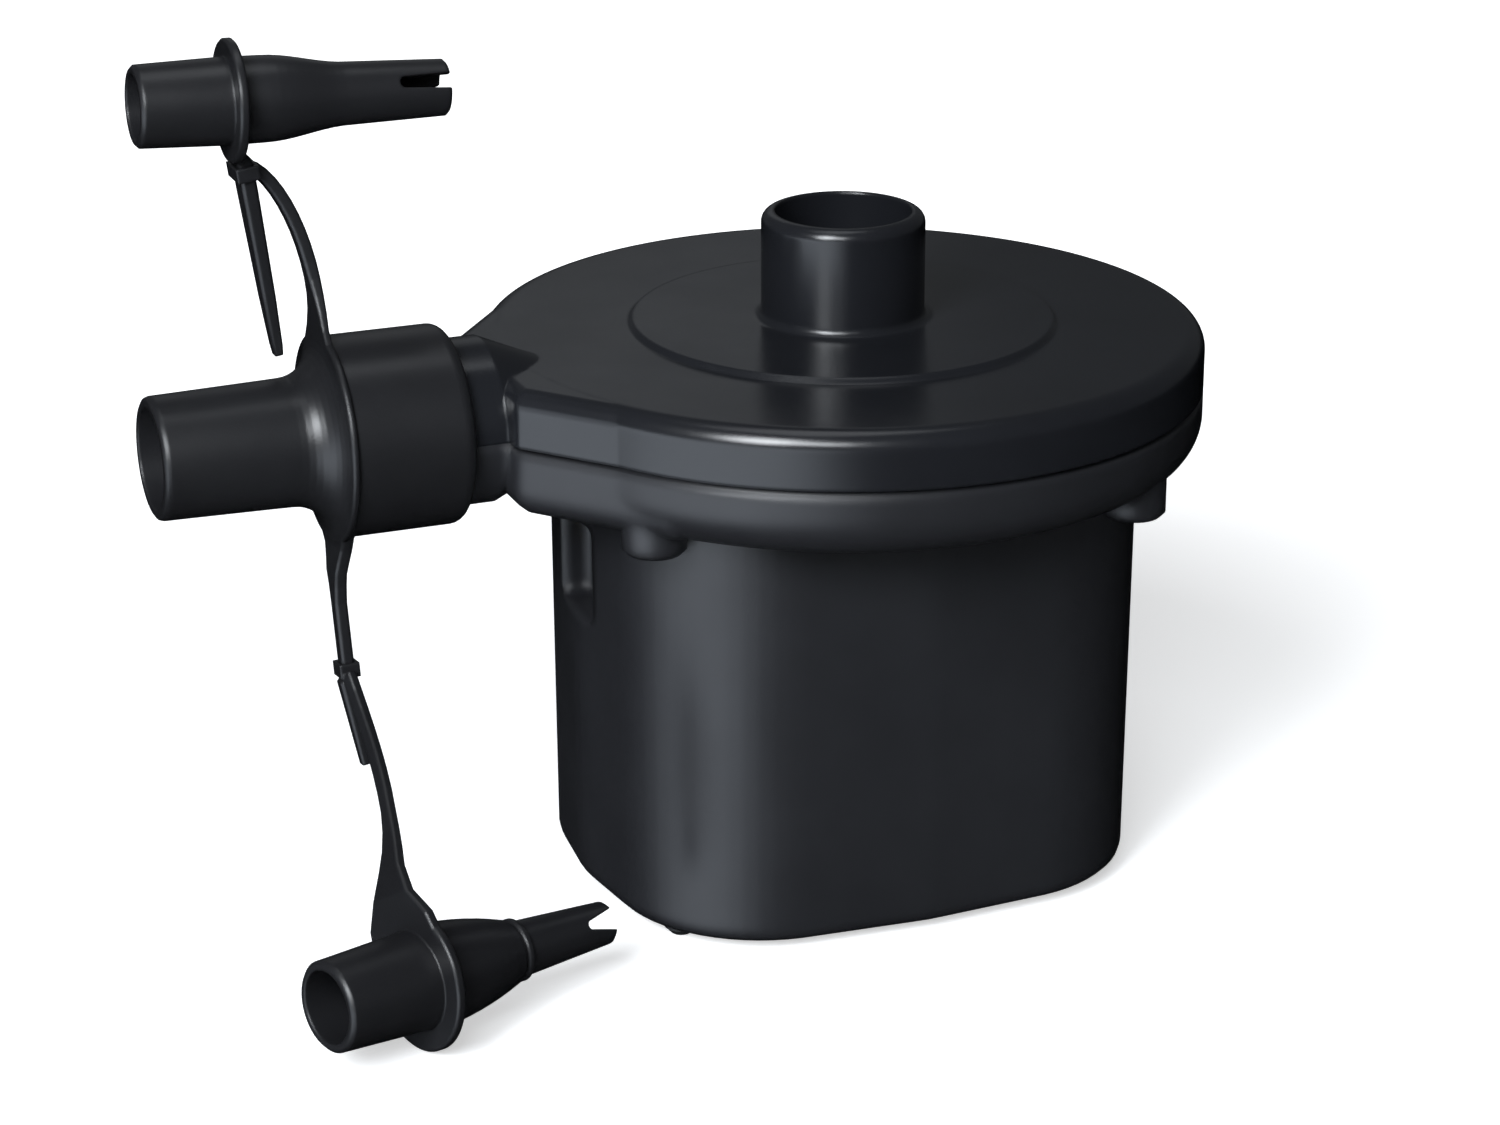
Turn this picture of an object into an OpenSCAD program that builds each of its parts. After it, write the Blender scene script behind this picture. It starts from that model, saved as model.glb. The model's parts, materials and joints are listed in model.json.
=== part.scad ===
// Electric pump for air beds, with three linked nozzle adapters on its outlet.
// The origin lies on the impeller axis in the underside of the base.
// +Z is up, the outlet faces -X, and the feet reach a little below zero.

/* [Motor compartment] */
// Width of the compartment along the outlet axis
body_w = 90; // [86:0.5:96]
// Depth of the compartment across the outlet axis
body_d = 75; // [72:0.5:80]
// Corner radius of the compartment
body_corner = 25; // [20:0.5:28]
// Outward bow of each side
body_bow = 1.2; // [0.4:0.1:2]
// Growth of each side from the base up to the rim
body_draft = 0.5; // [0:0.1:1]
// Rounding of the base edge
base_round = 2.2; // [1.2:0.1:2.4]
// Wall thickness of the mouldings
wall = 2.4; // [2:0.1:2.8]

/* [Volute] */
// Radius of the round volute
volute_r = 57.5; // [56:0.5:62]
// Height of the parting plane, which is also the outlet's axis
parting_z = 80.6; // [78:0.2:86]
// Depth of the volute below the parting plane
bowl_depth = 11.5; // [11:0.1:14]
// Rounding of the volute's lower edge
bowl_round = 7; // [5:0.5:8]
// Height of the lid above the parting plane
lid_h = 9; // [8.6:0.1:12]
// Rounding of the lid's upper edge
lid_round = 3; // [2:0.2:4]
// Width and depth of the groove along the parting line
groove = 0.7; // [0.4:0.1:1]
// Radius of the raised disc on the lid
disc_r = 33.4; // [28:0.2:38]
// Height of the raised disc
disc_h = 0.9; // [0.5:0.1:1.4]

/* [Intake and outlet] */
// Outer radius of the intake port and of the outlet spigot, which take the same adapter
port_r = 13; // [12.5:0.1:13.5]
// Bore radius of the intake port and of the outlet spigot
port_bore = 10.9; // [10:0.1:11]
// Height of the intake port above the lid
port_h = 18; // [14:0.5:24]
// Rounding of the intake port's lip
lip_round = 1.8; // [1:0.1:2]
// Fillet where the port meets the raised disc
port_fillet = 1.3; // [0.6:0.1:2]
// Distance from the impeller axis to the outer end of the neck
neck_x = 60.6; // [60:0.2:64]
// Half width of the neck at its outer end
neck_half = 15.6; // [15:0.1:17]
// Length of the outlet spigot past the neck
spigot_l = 21.4; // [18:0.2:26]
// Radial room between the spigot and the adapter pushed on it
push_clear = 0.05; // [0.02:0.01:0.1]

/* [Impeller and motor] */
// Radius of the impeller
impeller_r = 44; // [38:0.5:46]
// Number of impeller blades
blades = 12; // [8:1:14]
// Radius of the motor's can
can_r = 17.9; // [16:0.1:19]
// Length of the motor's can
can_l = 47; // [45:0.5:50]
// Radius of the motor's shaft
shaft_r = 1.59; // [1.4:0.01:2]
// Radial room of the shaft in its bushes
run_clear = 0.03; // [0.02:0.01:0.06]
// Thickness of the plate that carries the motor
plate_t = 2.5; // [2:0.1:3]

/* [Power inlet and switch] */
// Height of the inlet's centre above the base
jack_z = 54; // [48:0.5:56]
// Sideways place of the inlet's centre
jack_y = 1.7; // [-4:0.1:4]
// Width of the inlet's recess
recess_w = 15; // [13:0.5:18]
// Height of the inlet's recess
recess_h = 16; // [14:0.5:18]
// Depth of the inlet's recess
recess_depth = 5; // [4.6:0.1:6]
// Bore radius of the inlet
jack_bore = 2.85; // [2.7:0.05:3]
// Height of the switch's centre above the base
switch_z = 44; // [36:0.5:48]
// Tilt of the rocker to each side of level
rocker_tilt = 9; // [6:0.5:11]

/* [Feet and screws] */
// Height of the feet below the base
foot_h = 1.6; // [1.2:0.1:3]
// Radius of the feet
foot_r = 2.7; // [2.2:0.1:3.2]
// Shank radius of the screws that hold the lid
cover_screw_r = 1.5; // [1.3:0.05:1.7]
// Distance of the lid's screws from the volute's outer wall
cover_screw_in = 5.9; // [5.6:0.1:6.4]

/* [Large adapter] */
// Overall length of the large adapter
large_l = 46.9; // [42:0.1:52]
// Length of the skirt that goes over the spigot
skirt_l = 19; // [18:0.1:20]
// Wall of the skirt
skirt_wall = 2.5; // [1.8:0.1:2.8]
// Radius of the flange between skirt and spout
large_flange_r = 16.3; // [16:0.1:17.5]
// Radius of the spout at its open end
spout_r = 9.5; // [9:0.1:10]
// Wall of the spout
spout_wall = 1.7; // [1.4:0.1:2]
// Turn of the large adapter on the spigot
large_turn = 8; // [4:1:10]

/* [Small adapters] */
// Radius of the upper adapter's flange
upper_flange_r = 9.3; // [9:0.1:9.6]
// Radius of the upper adapter's socket at its open end
upper_socket_r = 6.2; // [5.8:0.1:6.6]
// Length of the upper adapter's spout
upper_spout_l = 32.3; // [30:0.1:34]
// Turn of the upper adapter about the vertical
upper_yaw = -1.4; // [-6:0.1:4]
// Radius of the lower adapter's flange
lower_flange_r = 11; // [10.5:0.1:11.5]
// Radius of the lower adapter's socket at its open end
lower_socket_r = 7; // [6.6:0.1:7.4]
// Length of the lower adapter's spout
lower_spout_l = 34.5; // [32:0.1:38]
// Turn of the lower adapter about the vertical
lower_yaw = 18.1; // [15:0.1:20]
// Width of the straps
strap_w = 2.9; // [2.6:0.1:3.2]
// Thickness of the straps
strap_t = 2; // [1.8:0.1:2.2]
// Room round a tongue in its loop
loop_clear = 0.08; // [0.06:0.01:0.1]

/* [Hidden] */
$fn = 96;
over = 0.05;
flush = 0.04;

// Levels and radii that follow from the sizes above
lid_z = parting_z + lid_h;
disc_z = lid_z + disc_h;
port_z = lid_z + port_h;
bowl_z = parting_z - bowl_depth;
floor_z = bowl_z + wall + 0.3;
cavity_r = volute_r - wall - 0.4;
half_w = body_w / 2;
half_d = body_d / 2;
floor_open_r = half_d - wall - 3;
plate_r = floor_open_r + 5;
plate_z = floor_z + plate_t;
spigot_end = neck_x + spigot_l;

// Impeller and motor levels
screw_head_h = 1.6;
impeller_gap = 0.9;
impeller_z = plate_z + screw_head_h + impeller_gap;
impeller_web = 1.6;
lid_gap = 1.3;
impeller_top = lid_z - wall - lid_gap;
hub_r = 8;
can_wall = 1.2;
can_bottom = floor_z - can_l;
cap_h = 8;
cap_z = can_bottom - cap_h;
bush_r = 3.1;
boss_r = 6.5;
boss_h = plate_t - 0.1;
magnet_t = 3.2;
air_gap = 0.6;
core_r = can_r - can_wall - magnet_t - air_gap;
core_l = 24;
core_z = can_bottom + 12;
motor_screw_at = 12.5;
motor_screw_r = 1.45;

// Screw places, as angles about the impeller axis
cover_angles = [33.5, 128, 213.5, 308];
plate_angles = [45, 135, 225, 315];
plate_screw_at = plate_r - 3.2;
plate_screw_r = 1.25;
lobe_r = 5;
lobe_drop = 3.2;
boss_wall = 2.2;
boss_relief = 0.3;
cover_screw_at = volute_r - cover_screw_in;
small_head_r = 2.4;
plate_screw_in = 4;
foot_in = [8.5, 15.8];
foot_at = [half_w - foot_in[0], half_d - foot_in[1]];
foot_stem_r = 1.4;

// Inlet and switch
recess_x = half_w - recess_depth;
jack_r = 4;
jack_block = [10, 9.4, 10];
jack_block_x = recess_x - wall;
jack_back_x = jack_block_x - jack_block[0];
pin_r = 1.05;
pit_x = half_w - 1.3;
bezel = [1.8, 15, 21];
switch_box = [13, 12.6, 18.6];
rocker_w = 8.6;
rocker_r = 8;
rocker_room = 0.4;
rocker_rise = 1.6;
rocker_valley = 0.2;
rocker_back = 2.4;
rocker_keel = 2.6;
pivot_end = 1.2;
pivot_x = pit_x - 2.6;
pivot_r = 1;
tab = [4, 0.6, 3];
jack_tab_y = 2.4;
switch_tab_z = 5;
lead_r = 0.9;
// The inlet's tabs reach in as far as the motor leaves room for the leads on their ends
lead_room = 1;
jack_tab_l = min(tab[0], jack_back_x - can_r - 2 * lead_r - lead_room);
// The motor's tabs: their length, and how far they stand out of the end cap
motor_tab_l = 7.6;
motor_tab_out = 5;

// Large adapter, measured along the outlet axis
skirt_r = port_r + push_clear + skirt_wall;
skirt_x = neck_x + 5.4;
flange_x = skirt_x + skirt_l;
flange_t = 1.1;
flange_mid = flange_x + flange_t / 2;
tip_x = skirt_x + large_l;
spout_root_r = spout_r + 0.4;
flare_l = 6;

// Upper loop, in the large adapter's own plane: reach along the axis and height above it
loop_x = flange_mid + 9.5;
loop_u = 41.8;
loop_wall = 0.5;
loop_h = 2.2;
// Tongue below: the loop's place on it, where its straight part starts and ends, and its tip
lower_loop_u = 36.4;
straight_u = 25.8;
kink_u = 37.8;
tongue_u = 51.9;
tongue_slope = 0.0385;
tail_slope = 0.13;
tail_stop = 2.6;
tail_w = 2.2;
tail_t = 1.5;

// Small adapters
small_flange_t = 1.5;
upper_socket_l = 13.9;
upper_tilt = 1.3;
upper_fork = -29;
upper_rise = 10.85;
hang_w = 4.7;
hang_t = 2.4;
hang_l = 29.4;
lower_socket_l = 15.9;
lower_tilt = 2.4;
lower_fork = -33;
lower_roll = -31;
lower_strap = [2.4, 1.6 - flush];
floor_gap = 0.05;
lower_flange_at = [-flange_mid - 0.7, -43.9, lower_flange_r + floor_gap - foot_h];

// Vector helpers
function unit(v) = v / norm(v);
function mix(a, b, t) = a + (b - a) * t;
function bezier(p, t) = pow(1 - t, 3) * p[0] + 3 * t * pow(1 - t, 2) * p[1]
    + 3 * t * t * (1 - t) * p[2] + pow(t, 3) * p[3];
function curve(p, n) = [for (i = [0 : n]) bezier(p, i / n)];

// Copies of the children at the given angles and distance from the axis
module around(angles, distance) {
    for (a = angles)
        rotate(a) translate([distance, 0, 0]) children();
}

// A cylinder along X from x0 to x1
module along_x(x0, x1, r0, r1) {
    translate([x0, 0, 0]) rotate([0, 90, 0]) cylinder(h = x1 - x0, r1 = r0, r2 = r1);
}

// A turned shape about X, from points of radius and place along X
module turned_x(points) {
    rotate([0, 90, 0]) rotate_extrude() polygon(points);
}

// A closed tube of 8 sides along a list of points
module wire(path, r) {
    last = len(path) - 1;
    rings = [for (i = [0 : last])
        let (t = unit(path[min(i + 1, last)] - path[max(i - 1, 0)]),
            a = unit(cross(t, abs(t[2]) < 0.9 ? [0, 0, 1] : [1, 0, 0])),
            b = cross(t, a))
        for (k = [0 : 7]) path[i] + r * (cos(k * 45) * a + sin(k * 45) * b)];
    loft(rings, 8);
}

// A strip along rows of place, width and thickness, whose width follows side
module ribbon(rows, side) {
    last = len(rows) - 1;
    rings = [for (i = [0 : last])
        let (d = unit(rows[min(i + 1, last)][0] - rows[max(i - 1, 0)][0]),
            n = unit(cross(side, d)),
            a = cross(d, n),
            w = rows[i][1] / 2,
            h = rows[i][2] / 2,
            c = h * 0.35)
        for (q = [[w - c, -h], [w, c - h], [w, h - c], [w - c, h],
            [c - w, h], [-w, h - c], [-w, c - h], [c - w, -h]])
            rows[i][0] + q[0] * a + q[1] * n];
    loft(rings, 8);
}

// A closed surface through rings of n points each
module loft(points, n) {
    count = len(points) / n;
    sides = [for (i = [0 : count - 2]) for (k = [0 : n - 1])
        let (a = i * n + k, b = i * n + (k + 1) % n)
        each [[a, b, b + n], [a, b + n, a + n]]];
    start = [for (k = [1 : n - 2]) [0, k + 1, k]];
    top = (count - 1) * n;
    end = [for (k = [1 : n - 2]) [top, top + k, top + k + 1]];
    polyhedron(points = points, faces = concat(sides, start, end), convexity = 6);
}

// A band of the compartment's outline between two levels, each drawn in from its full size
module body_band(z0, inset0, z1, inset1) {
    r = body_corner;
    bow_r = 30;
    spots = concat(
        [for (sx = [-1, 1]) for (sy = [-1, 1])
            [sx * (half_w - body_bow - r), sy * (half_d - body_bow - r), r]],
        [for (s = [-1, 1]) [s * (half_w - bow_r), 0, bow_r]],
        [for (s = [-1, 1]) [0, s * (half_d - bow_r), bow_r]]);
    for (p = spots)
        translate([p[0], p[1], z0]) cylinder(r1 = p[2] - inset0, r2 = p[2] - inset1, h = z1 - z0, $fn = 64);
}

// Outside of the compartment, with its rounded base edge and slightly spreading sides
module body_outside() {
    hull() {
        for (a = [0, 30, 60])
            body_band(base_round * (1 - cos(a)), base_round * (1 - sin(a)),
                base_round * (1 - cos(a + 30)), base_round * (1 - sin(a + 30)));
        body_band(base_round, 0, bowl_z + wall, -body_draft);
    }
}

// Inside of the compartment
module body_inside() {
    hull() body_band(wall, wall, bowl_z, wall - body_draft);
}

// Half profile of a drum from z0 to z1 with one rounded edge, at the bottom or at the top
module drum_profile(r, z0, z1, round, at_top) {
    zc = at_top ? z1 - round : z0 + round;
    translate([0, z0]) square([r - round, z1 - z0]);
    translate([0, at_top ? z0 : zc]) square([r, z1 - z0 - round]);
    intersection() {
        translate([r - round, zc]) circle(round);
        translate([0, z0]) square([r, z1 - z0]);
    }
}

// Plan of the neck between volute and spigot: side lines that just cut the volute's circle
neck_reach = norm([neck_x, neck_half]);
neck_foot = volute_r - 0.5;
neck_angle = atan2(neck_half, neck_x) + acos(neck_foot / neck_reach);
function neck_corner(r) = [r - neck_x, (neck_foot - r - (neck_x - r) * cos(neck_angle)) / sin(neck_angle)];
function neck_end(r) = (neck_foot - r) * [-cos(neck_angle), sin(neck_angle)];

// The neck as a slab from z = 0 to h, with rounded upper edges
module neck_slab(h, r) {
    hull() {
        for (p = [neck_corner(r), neck_end(r)])
            for (s = [-1, 1])
                translate([p[0], s * p[1], 0]) {
                    cylinder(r = r, h = h - r, $fn = 32);
                    for (a = [0 : 20 : 60])
                        translate([0, 0, h - r + r * sin(a)])
                            cylinder(r1 = r * cos(a), r2 = r * cos(a + 20),
                                h = r * (sin(a + 20) - sin(a)), $fn = 32);
                }
    }
}

// The neck's plan, drawn in by inset, for the thin land beside the parting groove
module neck_plan(inset) {
    c = neck_corner(inset);
    e = neck_end(inset);
    polygon([[c[0], c[1] - groove], [c[0] + groove, c[1]], e, [e[0], -e[1]],
        [c[0] + groove, -c[1]], [c[0], groove - c[1]]]);
}

// Where the spigot's crown runs out into the lid's flat top, and the air way's radius there
saddle_x = neck_x - 10.2;
saddle_r = lid_h - 0.4;
way_r = lid_h - wall - 0.4;

// Air way through the neck: the spigot's bore, then a cone down to the volute
module outlet_way() {
    inner = -cavity_r * 0.7;
    translate([0, 0, parting_z])
        turned_x([[0, -spigot_end - 1], [port_bore, -spigot_end - 1], [port_bore, -neck_x],
            [way_r, -saddle_x], [way_r, inner], [0, inner]]);
}

// One half of the spigot with its crown: side 1 is above the parting plane, side -1 below
module spigot_half(side) {
    lead_in = 0.8;
    intersection() {
        translate([0, 0, parting_z])
            turned_x([[0, -spigot_end], [port_r - lead_in, -spigot_end], [port_r, -spigot_end + 1],
                [port_r, -neck_x], [saddle_r, -saddle_x], [0, -saddle_x]]);
        translate([-spigot_end - 1, -port_r - 1, parting_z - (side < 0 ? port_r + 1 : 0)])
            cube([spigot_end - saddle_x + 2, 2 * port_r + 2, port_r + 1]);
    }
}

// Lower half: motor compartment, lower half of the volute and of the spigot
module lower_housing() {
    land = parting_z - groove;
    color("#16171a")
    difference() {
        union() {
            difference() {
                union() {
                    body_outside();
                    rotate_extrude() drum_profile(volute_r, bowl_z, land, bowl_round, false);
                    translate([0, 0, land - 1]) cylinder(r = volute_r - groove, h = groove + 1);
                    translate([0, 0, land]) mirror([0, 0, 1])
                        neck_slab(land - bowl_z - flush, lid_round + 1.5);
                    translate([0, 0, land - 1]) linear_extrude(groove + 1) neck_plan(groove);
                    spigot_half(-1);
                    around(cover_angles, cover_screw_at)
                        translate([0, 0, bowl_z - lobe_drop]) lobe();
                }
                body_inside();
                rotate_extrude()
                    drum_profile(cavity_r, floor_z, parting_z + 1, bowl_round - wall, false);
                translate([0, 0, bowl_z - 1]) cylinder(r = floor_open_r, h = bowl_depth + 2);
                outlet_way();
            }
            around(cover_angles, cover_screw_at)
                translate([0, 0, floor_z - over])
                    cylinder(r = cover_screw_r + boss_wall, h = parting_z - boss_relief - floor_z + over);
            around(plate_angles, plate_screw_at)
                translate([0, 0, bowl_z - 6])
                    cylinder(r = plate_screw_r + boss_wall, h = floor_z - bowl_z + 6);
            inlet_box();
            switch_land();
        }
        around(cover_angles, cover_screw_at) {
            translate([0, 0, bowl_z - lobe_drop - 1])
                cylinder(r = cover_screw_r + hole_room, h = parting_z);
            translate([0, 0, bowl_z - lobe_drop - 1])
                cylinder(r = screw_head_r + 0.3, h = 1 + screw_sink);
        }
        around(plate_angles, plate_screw_at)
            translate([0, 0, bowl_z - 5]) cylinder(r = plate_screw_r + hole_room, h = parting_z);
        inlet_recess();
        switch_cutout();
        for (sx = [-1, 1])
            for (sy = [-1, 1])
                translate([sx * foot_at[0], sy * foot_at[1], -1])
                    cylinder(r = foot_stem_r + hole_room, h = wall + 2);
    }
}
hole_room = 0.05;
screw_head_r = 2.7;
screw_sink = 2.4;

// A lobe for one lid screw, under the rounded rim
module lobe() {
    cylinder(r1 = lobe_r - 0.8, r2 = lobe_r, h = 0.8);
    translate([0, 0, 0.8]) cylinder(r = lobe_r, h = lobe_drop + wall);
}

// Solid behind the inlet's recess, inside the compartment's wall
module inlet_box() {
    translate([-half_w + over + 1, jack_y - recess_w / 2 - wall, jack_z - recess_h / 2 - wall])
        cube([recess_depth + wall - 1 - over, recess_w + 2 * wall, recess_h + 2 * wall]);
}

// The recess and the hole for the inlet in its floor
module inlet_recess() {
    r = 2;
    hull() {
        for (sy = [-1, 1])
            for (sz = [-1, 1])
                translate([-half_w - 3, jack_y + sy * (recess_w / 2 - r), jack_z + sz * (recess_h / 2 - r)])
                    rotate([0, 90, 0]) cylinder(r = r, h = recess_depth + 3, $fn = 32);
    }
    translate([0, jack_y, jack_z])
        along_x(-half_w, -jack_block_x + 1, jack_r + hole_room, jack_r + hole_room);
}

// Flat land for the switch on the side away from the outlet
module switch_land() {
    translate([pit_x - wall, -bezel[1] / 2 - wall, switch_z - bezel[2] / 2 - wall])
        cube([wall, bezel[1] + 2 * wall, bezel[2] + 2 * wall]);
}

// Shallow pit for the bezel and the opening for the switch's box
module switch_cutout() {
    gap = 0.25;
    translate([pit_x, -bezel[1] / 2 - gap, switch_z - bezel[2] / 2 - gap])
        cube([10, bezel[1] + 2 * gap, bezel[2] + 2 * gap]);
    translate([pit_x - 20, -switch_box[1] / 2 - hole_room, switch_z - switch_box[2] / 2 - hole_room])
        cube([21, switch_box[1] + 2 * hole_room, switch_box[2] + 2 * hole_room]);
}

// Upper half: lid with raised disc, intake port, saddle and the upper half of the spigot
module top_cover() {
    color("#1a1b1e")
    difference() {
        union() {
            difference() {
                union() {
                    rotate_extrude() drum_profile(volute_r, parting_z, lid_z, lid_round, true);
                    translate([0, 0, parting_z]) neck_slab(lid_h - flush, lid_round);
                    spigot_half(1);
                    translate([0, 0, lid_z - over])
                        cylinder(r1 = disc_r + 0.8, r2 = disc_r, h = disc_h + over);
                }
                rotate_extrude() drum_profile(cavity_r, parting_z - 1, lid_z - wall, lid_round - 1, true);
                outlet_way();
            }
            rotate_extrude() port_profile();
            around(cover_angles, cover_screw_at)
                translate([0, 0, parting_z + boss_relief])
                    cylinder(r = cover_screw_r + boss_wall, h = lid_h - wall - boss_relief + over);
        }
        translate([0, 0, parting_z]) cylinder(r = port_bore, h = lid_h + port_h);
        around(cover_angles, cover_screw_at)
            translate([0, 0, parting_z - 1]) cylinder(r = cover_screw_r + hole_room, h = lid_h - wall);
    }
    color("#1a1b1e") intake_guard();
}

// Half profile of the intake port: fillet at its foot and rounded lip
module port_profile() {
    inner = port_bore - over;
    translate([inner, lid_z - wall]) square([port_r - inner, port_h + wall - lip_round]);
    translate([inner, lid_z - wall]) square([port_r - lip_round - inner, port_h + wall]);
    translate([port_r - lip_round, port_z - lip_round]) circle(lip_round);
    difference() {
        translate([inner, disc_z - over]) square([port_r + port_fillet - inner, port_fillet + over]);
        translate([port_r + port_fillet, disc_z + port_fillet]) circle(port_fillet);
    }
}

// Cross of thin ribs at the foot of the port, which keeps fingers from the blades
module intake_guard() {
    rib = 1.4;
    for (a = [0, 60, 120])
        rotate(a) translate([-port_bore - 0.5, -rib / 2, lid_z - wall]) cube([2 * port_bore + 1, rib, wall]);
}

// Lid screws: heads in the lobes, shanks up into the lid's bosses
module cover_screws() {
    head_z = bowl_z - lobe_drop + screw_sink;
    color("#8d9094") around(cover_angles, cover_screw_at) {
        translate([0, 0, head_z - screw_head_h]) pan_head(screw_head_r, screw_head_h, true);
        translate([0, 0, head_z - over])
            cylinder(r = cover_screw_r, h = parting_z - head_z + lid_h - wall - 2);
    }
}

// A pan head with a cross recess; down turns its recess to -Z
module pan_head(r, h, down) {
    z = down ? 0 : h;
    difference() {
        rotate_extrude() drum_profile(r, 0, h, 0.6, !down);
        for (a = [0, 90])
            rotate(a) translate([-r * 0.55, -0.35, z - 0.8]) cube([r * 1.1, 0.7, 1.6]);
    }
}

// Rubber feet: flat-nosed domes with stems in the base
module rubber_feet() {
    nose = foot_r * 0.6;
    color("#0c0c0d")
    for (sx = [-1, 1])
        for (sy = [-1, 1])
            translate([sx * foot_at[0], sy * foot_at[1], 0]) {
                translate([0, 0, -foot_h]) cylinder(r1 = nose, r2 = foot_r, h = foot_h * 0.7);
                translate([0, 0, -foot_h * 0.3 - over]) cylinder(r = foot_r, h = foot_h * 0.3 + over);
                translate([0, 0, -over]) cylinder(r = foot_stem_r, h = wall + over);
            }
}

// Plate that closes the compartment under the impeller and carries the motor
module motor_plate() {
    color("#2a2b2e") difference() {
        translate([0, 0, floor_z]) cylinder(r = plate_r, h = plate_t);
        translate([0, 0, floor_z - 1]) cylinder(r = boss_r + hole_room, h = plate_t + 2);
        around(plate_angles, plate_screw_at)
            translate([0, 0, floor_z - 1]) cylinder(r = plate_screw_r + hole_room, h = plate_t + 2);
        around([0, 180], motor_screw_at)
            translate([0, 0, floor_z - 1]) cylinder(r = motor_screw_r + hole_room, h = plate_t + 2);
    }
}

// Screws of the plate, into the bosses below it
module plate_screws() {
    color("#8d9094") around(plate_angles, plate_screw_at) {
        translate([0, 0, plate_z]) pan_head(small_head_r, screw_head_h, false);
        translate([0, 0, bowl_z - plate_screw_in])
            cylinder(r = plate_screw_r, h = plate_z - bowl_z + plate_screw_in + over);
    }
}

// Two screws through the plate into the motor's can
module motor_screws() {
    color("#8d9094") around([0, 180], motor_screw_at) {
        translate([0, 0, plate_z]) pan_head(small_head_r, screw_head_h, false);
        translate([0, 0, floor_z - can_wall]) cylinder(r = motor_screw_r, h = plate_t + can_wall + over);
    }
}

// Drawn steel can of the motor, closed at the top, with a boss for the front bush
module motor_can() {
    color("#9a9da2") difference() {
        union() {
            rotate_extrude() drum_profile(can_r, can_bottom, floor_z, 1.5, true);
            translate([0, 0, floor_z - over]) cylinder(r = boss_r, h = boss_h + over);
        }
        translate([0, 0, can_bottom - 1]) cylinder(r = can_r - can_wall, h = can_l - can_wall + 1);
        translate([0, 0, floor_z - 10]) cylinder(r = bush_r, h = 20);
        around([0, 180], motor_screw_at)
            translate([0, 0, floor_z - 5]) cylinder(r = motor_screw_r + hole_room, h = 10);
    }
}

// Two magnet shells against the can's wall
module motor_magnets() {
    outer = can_r - can_wall;
    color("#3a3c40") difference() {
        translate([0, 0, core_z - 3]) cylinder(r = outer, h = core_l + 6);
        translate([0, 0, core_z - 4]) cylinder(r = outer - magnet_t, h = core_l + 8);
        translate([-can_r, -5, core_z - 4]) cube([2 * can_r, 10, core_l + 8]);
    }
}

// Plastic cap at the motor's rear, with posts that hold the brushes
module motor_end_cap() {
    lip = 2;
    inner = can_r - can_wall - 1.4;
    color("#d8d4c8") difference() {
        union() {
            translate([0, 0, cap_z]) cylinder(r = can_r, h = cap_h);
            translate([0, 0, can_bottom - over]) cylinder(r = can_r - can_wall - hole_room, h = lip + over);
            translate([0, 0, cap_z - 2]) cylinder(r = boss_r - 1, h = 2 + over);
        }
        difference() {
            translate([0, 0, cap_z + 2]) cylinder(r = inner, h = cap_h + lip);
            for (s = [-1, 1])
                translate([s * (brush_in + 3.4) - 2, -brush[1] / 2 - 1, cap_z])
                    cube([4, brush[1] + 2, brush_z - cap_z]);
        }
        translate([0, 0, cap_z - 3]) cylinder(r = bush_r, h = 20);
        for (s = [-1, 1])
            translate([s * tab_at - tab[1] / 2, -tab[0] / 2, cap_z - 1]) cube([tab[1], tab[0], 4]);
    }
}
commutator_r = 5;
brush = [4.4, 3.4, 3.6];
brush_in = commutator_r + run_clear;
brush_z = cap_z + 5;
tab_at = can_r - 6;

// Sintered bushes at both ends of the motor
module bush(z, h) {
    color("#b08d57") translate([0, 0, z]) difference() {
        cylinder(r = bush_r, h = h);
        translate([0, 0, -1]) cylinder(r = shaft_r + run_clear, h = h + 2);
    }
}
module front_bush() {
    bush(floor_z - can_wall - 1, can_wall + 1 + boss_h);
}
module rear_bush() {
    bush(cap_z - 1.6, 3.6);
}

// Carbon brushes, shaped to the commutator
module brushes() {
    color("#2b2b2b") difference() {
        for (s = [-1, 1])
            translate([s * (brush_in + brush[0] / 2) - brush[0] / 2, -brush[1] / 2, brush_z]) cube(brush);
        translate([0, 0, brush_z - 1]) cylinder(r = brush_in + 0.25, h = brush[2] + 2);
    }
}

// Motor terminals, through the end cap
module motor_terminals() {
    color("#c9a14a") for (s = [-1, 1])
        translate([s * tab_at - tab[1] / 2, -tab[0] / 2, cap_z - motor_tab_out])
            cube([tab[1], tab[0], motor_tab_l]);
}

// Shaft, from below the rear bush up into the impeller's hub
module motor_shaft() {
    z0 = cap_z - 1.2;
    color("#c4c7cb") translate([0, 0, z0]) cylinder(r = shaft_r, h = impeller_top - 1.5 - z0);
}

// Laminated core with five poles
module armature_core() {
    color("#6d7075") difference() {
        translate([0, 0, core_z]) cylinder(r = core_r, h = core_l);
        translate([0, 0, core_z - 1]) cylinder(r = shaft_r, h = core_l + 2);
        around([for (i = [0 : 4]) i * 72], core_r - 2.5)
            translate([-4, -1.2, core_z - 1]) cube([8, 2.4, core_l + 2]);
    }
}

// Coil heads above and below the core
module armature_windings() {
    coil_h = 4.6;
    color("#a5582a") for (z = [core_z - coil_h, core_z + core_l])
        translate([0, 0, z]) rotate_extrude() translate([shaft_r, 0])
            coil_profile(core_r - 3 - shaft_r, coil_h);
}
module coil_profile(w, h) {
    square([w - h / 2, h]);
    translate([w - h / 2, h / 2]) circle(h / 2);
}

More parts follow.
